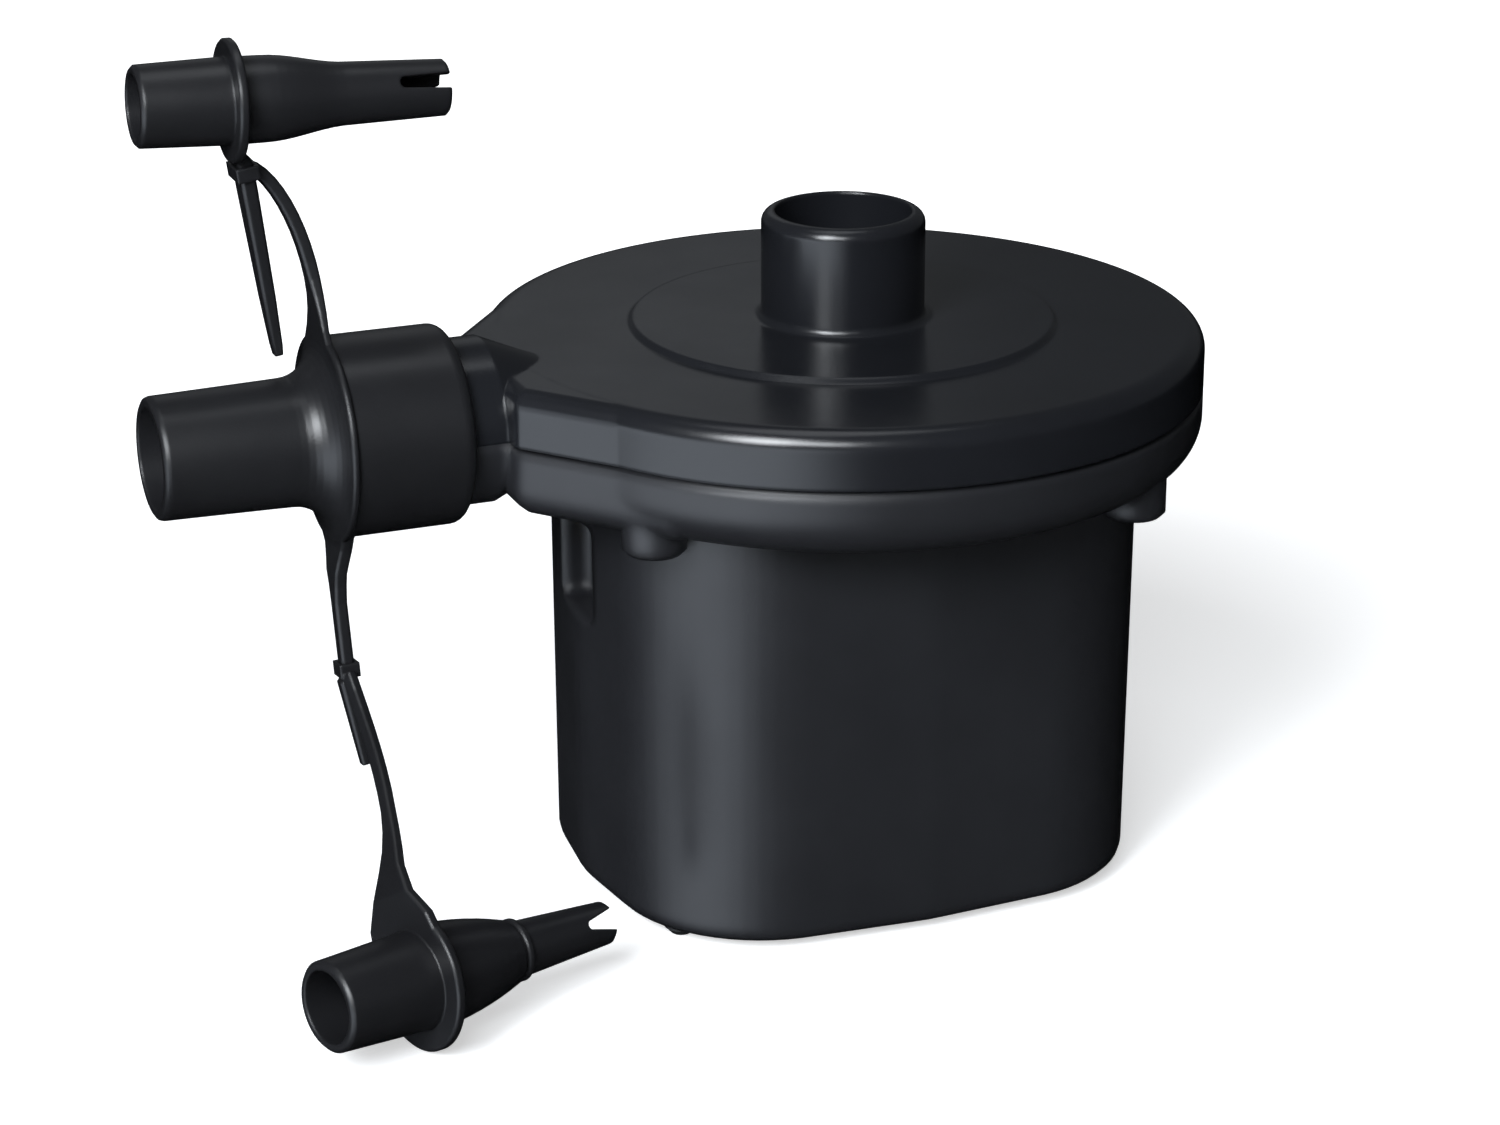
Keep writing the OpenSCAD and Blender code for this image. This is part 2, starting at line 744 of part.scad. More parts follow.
// Commutator below the lower coil head
module commutator() {
    z0 = brush_z - 1;
    color("#b87333") difference() {
        translate([0, 0, z0]) cylinder(r = commutator_r, h = core_z - 4.6 - z0);
        translate([0, 0, z0 - 1]) cylinder(r = shaft_r, h = core_z);
        around([for (i = [0 : 4]) i * 72], commutator_r)
            translate([-0.6, -0.25, z0 - 1]) cube([1, 0.5, brush[2] + 3]);
    }
}

// Open impeller with backward-curved blades on a flat web
module impeller() {
    eye_r = 14;
    vane_r = 30;
    vane_t = 1.3;
    color("#33363a") difference() {
        union() {
            translate([0, 0, impeller_z]) cylinder(r = impeller_r, h = impeller_web);
            translate([0, 0, impeller_z]) cylinder(r = hub_r, h = (impeller_top - impeller_z) * 0.7);
            translate([0, 0, impeller_z + (impeller_top - impeller_z) * 0.7 - over])
                cylinder(r1 = hub_r, r2 = shaft_r + 2, h = (impeller_top - impeller_z) * 0.3 + over);
            intersection() {
                translate([0, 0, impeller_z + impeller_web - over])
                    linear_extrude(impeller_top - impeller_z - impeller_web) vanes(eye_r, vane_r, vane_t);
                blade_envelope(eye_r);
            }
        }
        translate([0, 0, impeller_z - 1]) cylinder(r = shaft_r, h = impeller_top - 0.5 - impeller_z);
    }
}

// Plan of the blades: arcs between the eye and the impeller's edge
module vanes(eye_r, vane_r, vane_t) {
    reach = (eye_r + impeller_r) / 2;
    intersection() {
        difference() {
            circle(impeller_r - 0.3);
            circle(eye_r);
        }
        for (i = [0 : blades - 1])
            rotate(i * 360 / blades) translate([reach * 0.62, -vane_r * 0.78]) difference() {
                circle(vane_r + vane_t / 2);
                circle(vane_r - vane_t / 2);
                translate([-2 * vane_r, -2 * vane_r]) square([4 * vane_r, 2 * vane_r]);
            }
    }
}

// The blades are full height at the eye and lower at the edge
module blade_envelope(eye_r) {
    edge_drop = 2.2;
    translate([0, 0, impeller_z]) cylinder(r = impeller_r, h = impeller_top - impeller_z - edge_drop);
    translate([0, 0, impeller_top - edge_drop - over])
        cylinder(r1 = impeller_r, r2 = eye_r + 4, h = edge_drop + over);
}

// Low-voltage inlet: round nose in the recess and a block behind the wall
module dc_jack() {
    color("#101113") translate([0, jack_y, jack_z]) difference() {
        union() {
            along_x(-recess_x, -jack_block_x + over, jack_r, jack_r);
            translate([-jack_block_x, -jack_block[1] / 2, -jack_block[2] / 2]) cube(jack_block);
        }
        along_x(-recess_x - 1, -jack_back_x - 2, jack_bore, jack_bore);
        for (s = [-1, 1])
            translate([-jack_back_x - 2.2, s * jack_tab_y - tab[1] / 2, -tab[2] / 2])
                cube([4, tab[1], tab[2]]);
    }
}

// Centre pin of the inlet
module jack_pin() {
    color("#d2b15a") translate([0, jack_y, jack_z]) {
        along_x(-recess_x + 1.2, -jack_back_x - 2, pin_r, pin_r);
        translate([-recess_x + 1.2, 0, 0]) sphere(pin_r);
    }
}

// Solder tabs of the inlet
module jack_terminals() {
    color("#c9a14a") for (s = [-1, 1])
        translate([-jack_back_x - 1.8, jack_y + s * jack_tab_y - tab[1] / 2, jack_z - tab[2] / 2])
            cube([1.8 + jack_tab_l, tab[1], tab[2]]);
}

// Frame of the switch: bezel outside, box inside, open at the front for the rocker
module switch_frame() {
    color("#131416") translate([0, 0, switch_z]) difference() {
        union() {
            translate([pit_x, 0, 0]) bezel_plate();
            translate([pit_x - switch_box[0], -switch_box[1] / 2, -switch_box[2] / 2])
                cube([switch_box[0] + over, switch_box[1], switch_box[2]]);
        }
        translate([pivot_x - rocker_r - 0.6, -rocker_w / 2 - rocker_room, -rocker_r - rocker_room])
            cube([20, rocker_w + 2 * rocker_room, 2 * (rocker_r + rocker_room)]);
        translate([pivot_x, -switch_box[1], 0]) rotate([-90, 0, 0])
            cylinder(r = pivot_r + run_clear, h = 2 * switch_box[1]);
        for (s = [-1, 1])
            translate([pit_x - switch_box[0] - 1, -tab[1] / 2, s * switch_tab_z - tab[2] / 2])
                cube([3, tab[1], tab[2]]);
    }
}

// Bezel with chamfered outer edges
module bezel_plate() {
    edge = 0.9;
    translate([0, -bezel[1] / 2, -bezel[2] / 2]) cube([bezel[0] - edge, bezel[1], bezel[2]]);
    translate([0, edge - bezel[1] / 2, edge - bezel[2] / 2])
        cube([bezel[0], bezel[1] - 2 * edge, bezel[2] - 2 * edge]);
}

// Tabs at the back of the switch
module switch_terminals() {
    color("#c9a14a") for (s = [-1, 1])
        translate([pit_x - switch_box[0] - tab[0], -tab[1] / 2, switch_z + s * switch_tab_z - tab[2] / 2])
            cube([tab[0] + 2, tab[1], tab[2]]);
}

// Rocker with a shallow valley across its face, at rest in the off position
module switch_rocker() {
    face = pit_x + bezel[0] - pivot_x;
    pin_l = rocker_w / 2 + rocker_room + pivot_end;
    color("#0e0f10") translate([pivot_x, 0, switch_z]) rotate([0, rocker_tilt, 0]) {
        rotate([90, 0, 0]) linear_extrude(rocker_w, center = true) intersection() {
            circle(rocker_r);
            polygon([[-rocker_back, -rocker_keel], [0, -rocker_r], [face + rocker_rise, -rocker_r],
                [face - rocker_valley, 0], [face + rocker_rise, rocker_r], [0, rocker_r],
                [-rocker_back, rocker_keel]]);
        }
        translate([0, -pin_l, 0]) rotate([-90, 0, 0]) cylinder(r = pivot_r, h = 2 * pin_l);
    }
}

// Inner leads, each along a smooth curve from tab to tab
lead_y = half_d - wall - 5;
jack_tab_x = -jack_back_x + jack_tab_l + lead_r;
switch_tab_x = pit_x - switch_box[0] - tab[0] - lead_r;
motor_tab_z = cap_z - motor_tab_out - lead_r;
module lead_supply() {
    end_z = switch_z + switch_tab_z;
    mid_z = (jack_z + end_z) / 2;
    color("#8f1d1d") wire(concat(
        curve([[jack_tab_x, jack_y + jack_tab_y, jack_z], [jack_tab_x, jack_y + half_d / 3, jack_z],
            [-half_w / 2, lead_y, jack_z], [-half_w / 8, lead_y, mid_z]], 7),
        curve([[0, lead_y, mid_z], [half_w / 4, lead_y, mid_z], [switch_tab_x, half_d / 2, end_z],
            [switch_tab_x, 0, end_z]], 8)), lead_r);
}
module lead_motor() {
    start_z = switch_z - switch_tab_z;
    color("#8f1d1d") wire(
        curve([[switch_tab_x, 0, start_z], [switch_tab_x, -half_d / 4, start_z / 2],
            [tab_at, -half_d / 2, motor_tab_z / 2], [tab_at, 0, motor_tab_z]], 12), lead_r);
}
module lead_return() {
    color("#1b1b1d") wire(
        curve([[jack_tab_x, jack_y - jack_tab_y, jack_z], [jack_tab_x, -half_d / 2, jack_z / 2],
            [-tab_at, -half_d * 0.6, motor_tab_z / 2], [-tab_at, 0, motor_tab_z]], 12), lead_r);
}

// The large adapter's own frame, on the outlet axis
module on_outlet() {
    translate([0, 0, parting_z]) rotate([-large_turn, 0, 0]) children();
}
function outlet_point(p) = [p[0],
    p[1] * cos(large_turn) + p[2] * sin(large_turn),
    parting_z - p[1] * sin(large_turn) + p[2] * cos(large_turn)];

// Width and thickness of a strap at a distance from the axis, from the flange out to its narrow part
root_w = [[10, 21], [13, 16.6], [15, 12], [17, 9], [19, 7], [21, 5.4], [23, 4], [straight_u, strap_w]];
root_t = [[17, flange_t], [straight_u, strap_t - flush]];

// Strap above, from the flange to its loop, in the large adapter's own frame
strap_path = concat([for (u = [11, 13, 15]) [-flange_mid, 0, u]],
    curve([[-flange_mid, 0, 17], [-flange_mid + 0.7, 0, 27], [-loop_x + 6.3, 0, loop_u - 3],
        [-loop_x + 1.3, 0, loop_u + 0.4]], 12));

// Tongue below, in the same frame, at distance u below the axis: it bends below the lower loop
function tongue_at(u) = [-flange_mid + max(u - straight_u, 0) * tongue_slope
    + max(u - kink_u, 0) * (tail_slope - tongue_slope), 0, -u];
tongue_lean = [[17, 0.6], [21, 0]];
tongue_axis = unit(outlet_point(tongue_at(straight_u)) - outlet_point(tongue_at(kink_u)));
tongue_rows = concat(
    [for (u = [11, 13, 15, 17, 19, 21, 23, straight_u])
        [tongue_at(u) + [lookup(u, tongue_lean), 0, 0], lookup(u, root_w), strap_t - flush]],
    [[tongue_at(kink_u), strap_w, strap_t - flush],
    [tongue_at(kink_u + 0.5) - [0.3, 0, 0], strap_w, tail_stop],
        [tongue_at(tongue_u), tail_w, tail_t]]);

// Large adapter: skirt over the spigot, flange with strap and tongue, tapered spout
module large_adapter() {
    color("#141517") difference() {
        union() {
            on_outlet() {
                turned_x(large_outside());
                ribbon([for (p = strap_path) [p, lookup(p[2], root_w), lookup(p[2], root_t)]], [0, 1, 0]);
                ribbon(tongue_rows, [0, 1, 0]);
            }
            upper_loop();
        }
        on_outlet() turned_x(large_inside());
        upper_slot();
    }
}

// Outside of the large adapter's turned body, from its tip to the skirt's end
function large_outside() = concat(
    [[0, -tip_x], [spout_r - 0.7, -tip_x], [spout_r - 0.2, -tip_x + 0.3], [spout_r, -tip_x + 0.9]],
    [for (a = [0 : 10 : 90]) [spout_root_r + (large_flange_r - 0.3 - spout_root_r) * (1 - cos(a)),
        -flange_x - flange_t - flare_l + flare_l * sin(a)]],
    [[large_flange_r, -flange_x - flange_t + 0.3], [large_flange_r, -flange_x - 0.3],
    [large_flange_r - 0.3, -flange_x],
        [skirt_r, -flange_x]],
    [for (a = [0 : 15 : 75]) [skirt_r - 2 + 2 * cos(a), -skirt_x - 2 + 2 * sin(a)]],
    [[0, -skirt_x]]);

// Bore of the large adapter: skirt over the spigot, cone, spout
function large_inside() = [[0, -tip_x - 1], [spout_r - spout_wall, -tip_x - 1],
    [spout_r - spout_wall, -flange_x - 4],
    [port_r - 2, -spigot_end - 0.8], [port_r + push_clear, -spigot_end - 0.8],
    [port_r + push_clear, -skirt_x - 0.5],
    [port_r + push_clear + 0.5, -skirt_x], [port_r + push_clear + 0.5, -skirt_x + 1], [0, -skirt_x + 1]];

// A square loop round a tongue of width w and thickness t, centred at p and facing along axis
module loop_block(p, axis, w, t) {
    room = 2 * (loop_clear + loop_wall);
    tilt = acos(axis[2]);
    swing = atan2(axis[1], axis[0]);
    translate(p) rotate([0, tilt, swing]) rotate(-swing) cube([t + room, w + room, loop_h], center = true);
}

// Notch that forks a spout's tip at x = 0: half widths at its rounded root and at the tip
module fork_cut(depth, root, tip) {
    spread = tip + (tip - root) / depth;
    translate([0, -10, 0]) rotate([-90, 0, 0]) linear_extrude(20) {
        polygon([[root - depth, -root], [1, -spread], [1, spread], [root - depth, root]]);
        translate([root - depth, 0]) circle(root);
    }
}

// Upper adapter: its tongue hangs through the large adapter's loop
upper_loop_at = outlet_point([-loop_x, 0, loop_u]);
upper_axis = unit([-0.1387, 0, 1]);
upper_at = upper_loop_at + upper_rise * upper_axis + [small_flange_t / 2, 0, 0];
// Tongue: distance along it from the loop, width, thickness and shift towards the spout
hang_rows = [[7, 11, 1.2, -0.45], [3.4, 9.4, 1.3, -0.9], [2.5, 6.4, 1.9, -0.5], [2, 5, 2.2, -0.2],
    [1.25, hang_w, hang_t, 0], [-3.4, 4.6, hang_t, 0], [-11, 4.2, 2.2, 0], [-20, 3.6, 2, 0],
    [1.6 - hang_l, 2.6, 1.6, 0], [-hang_l, tail_w, 1.3, 0]];
module upper_loop() {
    loop_block(upper_loop_at, upper_axis, hang_w, hang_t);
}
module upper_slot() {
    ribbon([for (d = [6, 0, -6])
        [upper_loop_at + d * upper_axis, hang_w + 2 * loop_clear, hang_t + 2 * loop_clear]], [0, 1, 0]);
}
module upper_tongue() {
    ribbon([for (q = hang_rows) [upper_loop_at + q[0] * upper_axis + [q[3], 0, 0], q[1], q[2]]], [0, 1, 0]);
}
module upper_adapter() {
    color("#141517") union() {
        translate(upper_at) rotate([0, upper_tilt, upper_yaw]) difference() {
            turned_x(upper_outside());
            turned_x(upper_inside());
            rotate([upper_fork, 0, 0]) translate([upper_spout_l, 0, 0]) fork_cut(8.1, 0.9, 1.2);
        }
        upper_tongue();
    }
}

// Socket and flange of a small adapter: radii at the open end and at the flange, and their lengths
function socket_outside(end_r, foot_r, flange_r, length) = [[0, -length - small_flange_t],
    [end_r - 0.5, -length - small_flange_t], [end_r, -length - small_flange_t + 0.5],
    [foot_r, -small_flange_t], [flange_r - 0.3, -small_flange_t],
    [flange_r, -small_flange_t + 0.3], [flange_r, -0.3], [flange_r - 0.3, 0]];
upper_neck_r = 4.75;
function upper_outside() = concat(
    socket_outside(upper_socket_r, upper_socket_r + 0.4, upper_flange_r, upper_socket_l),
    [[upper_socket_r + 0.35, 0]],
    [for (a = [0 : 20 : 180])
        [mix(upper_socket_r + 0.3, upper_neck_r, (1 - cos(a)) / 2), 4 + 13.5 * a / 180]],
    [[4.3, upper_spout_l - 0.4], [3.9, upper_spout_l], [0, upper_spout_l]]);
function upper_inside() = [[0, -upper_socket_l - small_flange_t - 1],
    [upper_socket_r - 1.3, -upper_socket_l - small_flange_t - 1],
    [upper_socket_r - 1.3, -2], [3.2, 12], [2.9, upper_spout_l + 1], [0, upper_spout_l + 1]];

// Lower adapter: it lies in front of the outlet, and its strap loops round the tongue above
lower_loop = outlet_point(tongue_at(lower_loop_u));
lower_axis = [cos(lower_yaw) * cos(lower_tilt), sin(lower_yaw) * cos(lower_tilt), -sin(lower_tilt)];
lower_side = [-sin(lower_yaw), cos(lower_yaw), 0];
lower_out = cos(lower_roll) * cross(lower_axis, lower_side) - sin(lower_roll) * lower_side;
lower_mid = lower_flange_at - small_flange_t / 2 * lower_axis;
lower_front = lower_loop - [0.3, strap_w / 2 + loop_clear + loop_wall + 0.1, 0.2];
// Strap: it leaves the flange as a leaf, and its widths follow the distance from the flange's centre
lower_path = concat([for (r = [4, 9, 13]) lower_mid + r * lower_out],
    curve([lower_mid + 17 * lower_out + 1.2 * lower_axis, lower_mid + 26 * lower_out + 5.1 * lower_axis,
        lower_front + [1.1, -7.1, -8.2], lower_front], 10));
lower_leaf = [[4, 19], [8, 18], [10, 15], [12, 11.2],
    [14, 8.6], [16, 6.4], [18, 4.9], [21, 3.6], [25, lower_strap[0]]];
module lower_adapter() {
    color("#141517") difference() {
        union() {
            translate(lower_flange_at) rotate([0, lower_tilt, lower_yaw]) difference() {
                turned_x(lower_outside());
                turned_x(lower_inside());
                rotate([lower_fork, 0, 0]) translate([lower_spout_l, 0, 0]) fork_cut(5.6, 0.7, 1.8);
            }
            ribbon([for (p = lower_path) [p, lookup(norm(p - lower_mid), lower_leaf),
                lower_strap[1]]],
                cross(lower_axis, lower_out));
            loop_block(lower_loop, tongue_axis, strap_w, strap_t);
        }
        lower_slot();
    }
}

// Room for the tongue along the lower loop
module lower_slot() {
    ribbon([for (d = [-5, 0, 5])
        [lower_loop + d * tongue_axis, strap_w + 2 * loop_clear, strap_t + 2 * loop_clear]], [0, 1, 0]);
}
bead_r = 4.9;
bead_at = 16.4;
function lower_outside() = concat(
    socket_outside(lower_socket_r, lower_socket_r + 0.65, lower_flange_r, lower_socket_l),
    curve([[8.2, 0], [7.65, 5.2], [7.15, 9.5], [5.1, bead_at - 0.9]], 8),
    [[4.6, bead_at - 0.2], [bead_r, bead_at + 0.1], [bead_r, bead_at + 0.8], [4.35, bead_at + 1.1],
        [3.4, lower_spout_l - 0.5], [3, lower_spout_l], [0, lower_spout_l]]);
function lower_inside() = [[0, -lower_socket_l - small_flange_t - 1],
    [lower_socket_r - 1.4, -lower_socket_l - small_flange_t - 1],
    [lower_socket_r - 1.4, -2], [3.6, 12], [3.1, 18], [2.1, lower_spout_l + 1], [0, lower_spout_l + 1]];

lower_housing();
top_cover();
cover_screws();
rubber_feet();
motor_plate();
plate_screws();
motor_can();
motor_magnets();
motor_end_cap();
motor_screws();
front_bush();
rear_bush();
brushes();
motor_terminals();
motor_shaft();
armature_core();
armature_windings();
commutator();
impeller();
dc_jack();
jack_pin();
jack_terminals();
switch_frame();
switch_terminals();
switch_rocker();
lead_supply();
lead_motor();
lead_return();
large_adapter();
upper_adapter();
lower_adapter();
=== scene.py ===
"""Looks of the electric air pump: materials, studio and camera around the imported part."""

import json
import math

import bpy
from mathutils import Matrix, Vector


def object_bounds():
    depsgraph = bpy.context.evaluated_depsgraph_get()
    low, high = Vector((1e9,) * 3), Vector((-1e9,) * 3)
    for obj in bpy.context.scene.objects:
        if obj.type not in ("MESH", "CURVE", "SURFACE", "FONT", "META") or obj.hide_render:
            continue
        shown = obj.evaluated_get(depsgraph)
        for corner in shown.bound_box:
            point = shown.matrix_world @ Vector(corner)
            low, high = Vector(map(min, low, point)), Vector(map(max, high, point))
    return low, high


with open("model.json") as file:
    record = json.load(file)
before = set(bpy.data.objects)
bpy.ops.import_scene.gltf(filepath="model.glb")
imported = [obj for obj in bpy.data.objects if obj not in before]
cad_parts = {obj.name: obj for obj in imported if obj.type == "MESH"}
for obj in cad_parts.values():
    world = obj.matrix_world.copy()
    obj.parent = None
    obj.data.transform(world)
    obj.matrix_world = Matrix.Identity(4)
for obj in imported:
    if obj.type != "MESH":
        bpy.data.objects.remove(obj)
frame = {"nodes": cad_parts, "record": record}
cad_low, cad_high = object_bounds()
scene = bpy.context.scene

# The photograph's view, fitted to the lid's and port's circles: sizes in metres, lens in millimetres.
UP = Vector((0, 0, 1))
RIGHT = Vector((0.92641, -0.37652, 0.0)).normalized()
AHEAD = Vector((0.35300, 0.86840, -0.34820)).normalized()
AWAY = Vector((AHEAD.x, AHEAD.y, 0.0)).normalized()
CAMERA_PLACE = (-0.24335, -0.55966, 0.27494)
CAMERA_LENS = 96.0
CAMERA_SENSOR = 36.0

# Noise in object space: its middle range, roughness, and scales for colour and for gloss.
NOISE_RANGE = (0.3, 0.7)
NOISE_ROUGHNESS = 0.55
COLOUR_SCALE = 35.0
GLOSS_SCALE = 60.0
GRAIN_DEPTH = 0.0001
EDGE_SAMPLES = 6

# Floor: it touches the feet, and from near to far its own glow rises to the white of the background.
FLOOR_Z = cad_low[2]
FLOOR_GAP = 0.0002
FLOOR_SIZE = 12.0
FLOOR_PALE = ((0.9, 0.9, 0.9), (0.93, 0.93, 0.93))
FLOOR_SCALE = 3.0
FLOOR_REACH = (0.1, 0.4)
FLOOR_FILL = (0.55, 1.0)

# Painted reflection: the floor glows for glossy rays only, bright to the left of the camera, fading out
# between two reaches.
PAINTED_REFLECTION_TURN = 42
PAINTED_REFLECTION_REACH = (-0.94, -0.62)
PAINTED_REFLECTION_STRENGTH = 2.6
PAINTED_REFLECTION_COLOUR = (0.82, 0.9, 1.0)

# Light of the surroundings and of the softboxes.
SKY_COLOUR = (0.9, 0.95, 1.0)
SKY_STRENGTH = 0.07
LAMP_COLOUR = (0.92, 0.96, 1.0)

# Finishes by material slot: two colours, the range of roughness, the grain and how far edges are softened.
FINISHES = {
    "body_plastic": dict(
        first=(0.0115, 0.0118, 0.0138), second=(0.0145, 0.015, 0.0175), rough=(0.34, 0.4),
        grain=0.1, grain_scale=2600, soft=0.0028),
    "lid_plastic": dict(
        first=(0.0075, 0.008, 0.0098), second=(0.0098, 0.0105, 0.0128), rough=(0.21, 0.26),
        grain=0.06, grain_scale=2600, soft=0.0008),
    "adapter_plastic": dict(
        first=(0.008, 0.008, 0.0092), second=(0.0105, 0.0107, 0.0122), rough=(0.32, 0.4),
        grain=0.14, grain_scale=3000, soft=0.0006),
    "inner_plastic": dict(
        first=(0.02, 0.021, 0.024), second=(0.028, 0.029, 0.033), rough=(0.45, 0.55), grain=0.1),
    "cap_plastic": dict(
        first=(0.55, 0.52, 0.43), second=(0.62, 0.58, 0.49), rough=(0.4, 0.5), grain=0.1),
    "jack_plastic": dict(
        first=(0.006, 0.006, 0.007), second=(0.009, 0.009, 0.0105), rough=(0.22, 0.3), grain=0.05),
    "rocker_plastic": dict(
        first=(0.007, 0.007, 0.008), second=(0.01, 0.01, 0.0115), rough=(0.2, 0.27), grain=0.05),
    "foot_rubber": dict(
        first=(0.006, 0.006, 0.0065), second=(0.01, 0.01, 0.0105), rough=(0.6, 0.72),
        grain=0.2, grain_scale=3500),
    "screw_steel": dict(
        first=(0.42, 0.43, 0.45), second=(0.5, 0.51, 0.53), rough=(0.25, 0.35),
        grain=0.05, grain_scale=4000, metal=1.0),
    "can_steel": dict(
        first=(0.46, 0.47, 0.49), second=(0.54, 0.55, 0.57), rough=(0.25, 0.34),
        grain=0.05, grain_scale=800, metal=1.0, stretch=(1, 1, 0.05)),
    "shaft_steel": dict(
        first=(0.55, 0.56, 0.58), second=(0.63, 0.64, 0.66), rough=(0.16, 0.24),
        grain=0.05, grain_scale=4000, metal=1.0),
    "core_steel": dict(
        first=(0.24, 0.25, 0.27), second=(0.32, 0.33, 0.35), rough=(0.35, 0.45),
        grain=0.3, grain_scale=900, metal=1.0, stretch=(0.05, 0.05, 3)),
    "magnet": dict(
        first=(0.04, 0.042, 0.047), second=(0.056, 0.058, 0.064), rough=(0.5, 0.6),
        grain=0.2, grain_scale=3000),
    "bush_bronze": dict(
        first=(0.42, 0.26, 0.1), second=(0.5, 0.32, 0.13), rough=(0.35, 0.45),
        grain=0.15, grain_scale=4000, metal=1.0),
    "contact_brass": dict(
        first=(0.56, 0.4, 0.14), second=(0.64, 0.47, 0.18), rough=(0.2, 0.3),
        grain=0.05, grain_scale=4000, metal=1.0),
    "copper": dict(
        first=(0.44, 0.17, 0.06), second=(0.54, 0.22, 0.09), rough=(0.28, 0.38),
        grain=0.25, grain_scale=1500, metal=1.0),
    "carbon": dict(
        first=(0.022, 0.022, 0.022), second=(0.034, 0.034, 0.034), rough=(0.5, 0.6), grain=0.15),
    "lead_red": dict(
        first=(0.3, 0.016, 0.016), second=(0.36, 0.022, 0.02), rough=(0.42, 0.5), grain=0.05),
    "lead_black": dict(
        first=(0.009, 0.009, 0.0095), second=(0.013, 0.013, 0.014), rough=(0.42, 0.5), grain=0.05),
}


def towards(turn):
    """The level direction from the object to the camera, turned to the camera's left by an angle."""
    return -AWAY * math.cos(math.radians(turn)) - RIGHT * math.sin(math.radians(turn))


def blank_material(name):
    """A new material without nodes but its output, with its tree and the output's socket."""
    made = bpy.data.materials.new(name)
    made.use_nodes = True
    tree = made.node_tree
    tree.nodes.clear()
    surface = tree.nodes.new("ShaderNodeOutputMaterial").inputs["Surface"]
    return made, tree, surface


def noise(tree, coords, scale, detail=3.0):
    made = tree.nodes.new("ShaderNodeTexNoise")
    made.inputs["Scale"].default_value = scale
    made.inputs["Detail"].default_value = detail
    made.inputs["Roughness"].default_value = NOISE_ROUGHNESS
    tree.links.new(coords, made.inputs["Vector"])
    return made.outputs["Fac"]


def ranged(tree, value, source, target, kind="LINEAR"):
    """A value carried from one range to another."""
    made = tree.nodes.new("ShaderNodeMapRange")
    made.interpolation_type = kind
    made.inputs["From Min"].default_value, made.inputs["From Max"].default_value = source
    made.inputs["To Min"].default_value, made.inputs["To Max"].default_value = target
    tree.links.new(value, made.inputs["Value"])
    return made.outputs["Result"]


def blend_colours(tree, value, first, second):
    ramp = tree.nodes.new("ShaderNodeValToRGB")
    for stop, place, colour in zip(ramp.color_ramp.elements, NOISE_RANGE, (first, second)):
        stop.position = place
        stop.color = (*colour, 1)
    tree.links.new(value, ramp.inputs["Fac"])
    return ramp.outputs["Color"]


def vector_value(tree, operation, vector, other=None):
    """A number worked out from a vector, such as its length or its reach along another."""
    made = tree.nodes.new("ShaderNodeVectorMath")
    made.operation = operation
    tree.links.new(vector, made.inputs[0])
    if other:
        made.inputs[1].default_value = other
    return made.outputs["Value"]


def glow(tree, colour, strength):
    made = tree.nodes.new("ShaderNodeEmission")
    made.inputs["Color"].default_value = (*colour, 1)
    tree.links.new(strength, made.inputs["Strength"])
    return made.outputs["Emission"]


def mixed(tree, value, first, second):
    made = tree.nodes.new("ShaderNodeMixShader")
    tree.links.new(value, made.inputs["Fac"])
    tree.links.new(first, made.inputs[1])
    tree.links.new(second, made.inputs[2])
    return made.outputs["Shader"]


def finish_of(name, first, second, rough, grain, grain_scale=2500, metal=0.0, stretch=None, soft=0.0):
    """A material whose colour and roughness drift slowly, with a fine grain and softened edges."""
    made, tree, surface = blank_material(name)
    shader = tree.nodes.new("ShaderNodeBsdfPrincipled")
    tree.links.new(shader.outputs["BSDF"], surface)
    coords = tree.nodes.new("ShaderNodeTexCoord").outputs["Object"]
    if stretch:
        scaled = tree.nodes.new("ShaderNodeMapping")
        scaled.inputs["Scale"].default_value = stretch
        tree.links.new(coords, scaled.inputs["Vector"])
        coords = scaled.outputs["Vector"]
    colour = blend_colours(tree, noise(tree, coords, COLOUR_SCALE), first, second)
    gloss = ranged(tree, noise(tree, coords, GLOSS_SCALE), NOISE_RANGE, rough)
    tree.links.new(colour, shader.inputs["Base Color"])
    tree.links.new(gloss, shader.inputs["Roughness"])
    shader.inputs["Metallic"].default_value = metal
    bump = tree.nodes.new("ShaderNodeBump")
    bump.inputs["Strength"].default_value = grain
    bump.inputs["Distance"].default_value = GRAIN_DEPTH
    tree.links.new(noise(tree, coords, grain_scale, detail=2.0), bump.inputs["Height"])
    tree.links.new(bump.outputs["Normal"], shader.inputs["Normal"])
    if soft:
        edge = tree.nodes.new("ShaderNodeBevel")
        edge.samples = EDGE_SAMPLES
        edge.inputs["Radius"].default_value = soft
        tree.links.new(edge.outputs["Normal"], bump.inputs["Normal"])
    return made


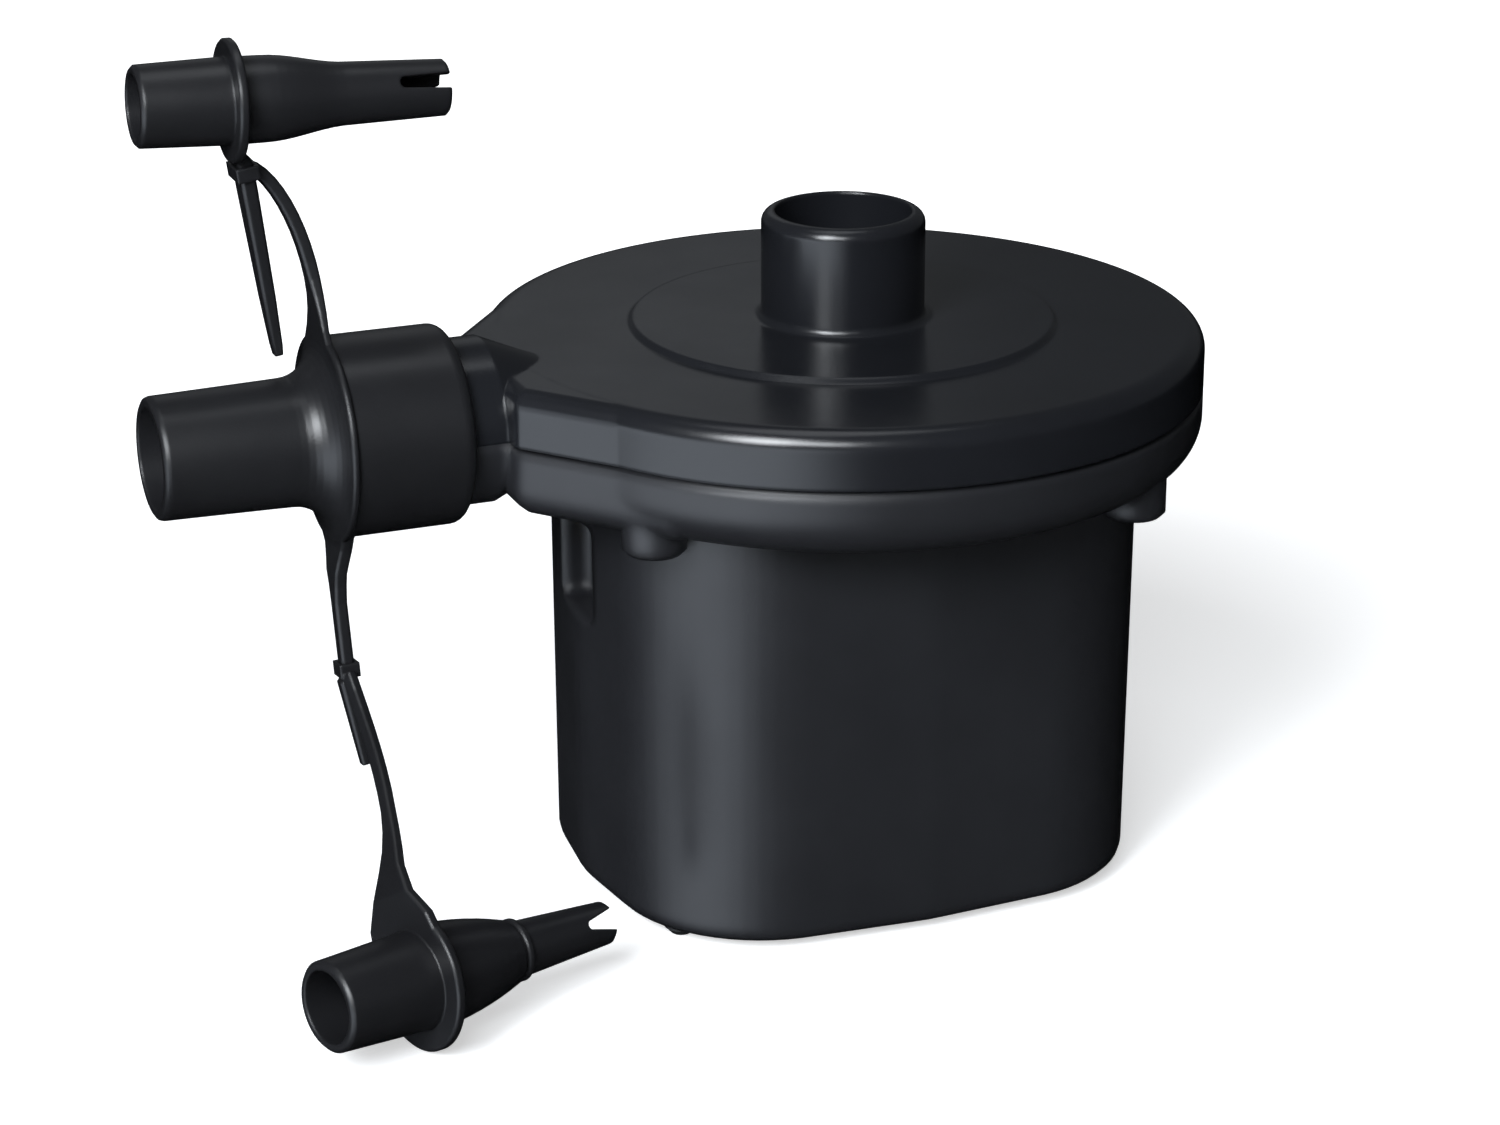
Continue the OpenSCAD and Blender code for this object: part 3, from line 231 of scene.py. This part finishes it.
def floor_finish():
    """A pale matt floor: with a glow of its own to the camera, and on one side a painted reflection, a
    glow seen only by glossy rays.
    """
    made, tree, surface = blank_material("floor_pale")
    path = tree.nodes.new("ShaderNodeLightPath")
    coords = tree.nodes.new("ShaderNodeTexCoord").outputs["Object"]
    matt = tree.nodes.new("ShaderNodeBsdfDiffuse")
    pale = blend_colours(tree, noise(tree, coords, FLOOR_SCALE), *FLOOR_PALE)
    tree.links.new(pale, matt.inputs["Color"])
    distance = vector_value(tree, "LENGTH", coords)
    fill = ranged(tree, distance, FLOOR_REACH, FLOOR_FILL, "SMOOTHSTEP")
    shown = tree.nodes.new("ShaderNodeAddShader")
    tree.links.new(matt.outputs["BSDF"], shown.inputs[0])
    tree.links.new(glow(tree, (1, 1, 1), fill), shown.inputs[1])
    # Painted reflection: glossy rays see the floor glow to the camera's left, and this shows as highlights
    # on the plastic.
    ray = tree.nodes.new("ShaderNodeNewGeometry").outputs["Incoming"]
    reach = vector_value(tree, "DOT_PRODUCT", ray, towards(PAINTED_REFLECTION_TURN))
    painted_reflection_strength = ranged(tree, reach, PAINTED_REFLECTION_REACH, (PAINTED_REFLECTION_STRENGTH, 0.0), "SMOOTHSTEP")
    painted_reflection = glow(tree, PAINTED_REFLECTION_COLOUR, painted_reflection_strength)
    unseen = mixed(tree, path.outputs["Is Glossy Ray"], matt.outputs["BSDF"], painted_reflection)
    seen = mixed(tree, path.outputs["Is Camera Ray"], unseen, shown.outputs["Shader"])
    tree.links.new(seen, surface)
    return made


def background(tree, colour, strength):
    made = tree.nodes.new("ShaderNodeBackground")
    made.inputs["Color"].default_value = (*colour, 1)
    made.inputs["Strength"].default_value = strength
    return made.outputs["Background"]


def studio_world():
    """Faint cool light from all round, which the camera sees as white."""
    made = bpy.data.worlds.new("studio")
    made.use_nodes = True
    tree = made.node_tree
    tree.nodes.clear()
    surface = tree.nodes.new("ShaderNodeOutputWorld").inputs["Surface"]
    path = tree.nodes.new("ShaderNodeLightPath")
    light = background(tree, SKY_COLOUR, SKY_STRENGTH)
    white = background(tree, (1, 1, 1), 1.0)
    tree.links.new(mixed(tree, path.outputs["Is Camera Ray"], light, white), surface)
    return made


def softbox(name, place, target, wide, high, power):
    lamp_data = bpy.data.lights.new(name, "AREA")
    lamp_data.shape = "RECTANGLE"
    lamp_data.size = wide
    lamp_data.size_y = high
    lamp_data.energy = power
    lamp_data.color = LAMP_COLOUR
    lamp = bpy.data.objects.new(name, lamp_data)
    scene.collection.objects.link(lamp)
    lamp.location = place
    lamp.rotation_mode = "QUATERNION"
    lamp.rotation_quaternion = (Vector(target) - Vector(place)).to_track_quat("-Z", "Y")


def photo_camera():
    camera_data = bpy.data.cameras.new("camera")
    camera_data.sensor_width = CAMERA_SENSOR
    camera_data.sensor_fit = "HORIZONTAL"
    camera_data.lens = CAMERA_LENS
    camera_data.clip_start = 0.05
    camera_data.clip_end = 50.0
    camera = bpy.data.objects.new("camera", camera_data)
    scene.collection.objects.link(camera)
    facing = Matrix((RIGHT, RIGHT.cross(AHEAD), -AHEAD)).transposed()
    camera.matrix_world = Matrix.Translation(CAMERA_PLACE) @ facing.to_4x4()
    return camera


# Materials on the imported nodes
looks = {name: finish_of(name, **finish) for name, finish in FINISHES.items()}
slot_of = {piece["node"]: piece["material_slot"] for piece in frame["record"]["subparts"]}
for name, thing in frame["nodes"].items():
    thing.data.materials.clear()
    thing.data.materials.append(looks[slot_of[name]])

# Floor and surroundings
bpy.ops.mesh.primitive_plane_add(size=FLOOR_SIZE, location=(0, 0, FLOOR_Z - FLOOR_GAP))
floor = bpy.context.object
floor.name = "floor"
floor.data.materials.append(floor_finish())
scene.world = studio_world()

# Softboxes: a tall one and a wide one beside the camera, a weak one above and a faint one behind
softbox("key", towards(27) * 1.1 + UP * 0.8, (-0.02, 0, 0.08), wide=0.35, high=0.9, power=13.0)
softbox("front", towards(20) * 1.05 + UP * 0.72, (-0.06, 0, 0.09), wide=0.8, high=0.4, power=13.0)
softbox("top", (-0.05, 0.1, 1.2), (0, 0, 0.08), wide=0.7, high=0.5, power=1.6)
softbox("back", (0.32, 1.26, 0.72), (0, 0, 0.09), wide=0.5, high=0.6, power=0.18)

# Camera
scene.camera = photo_camera()
scene.view_settings.view_transform = "Standard"
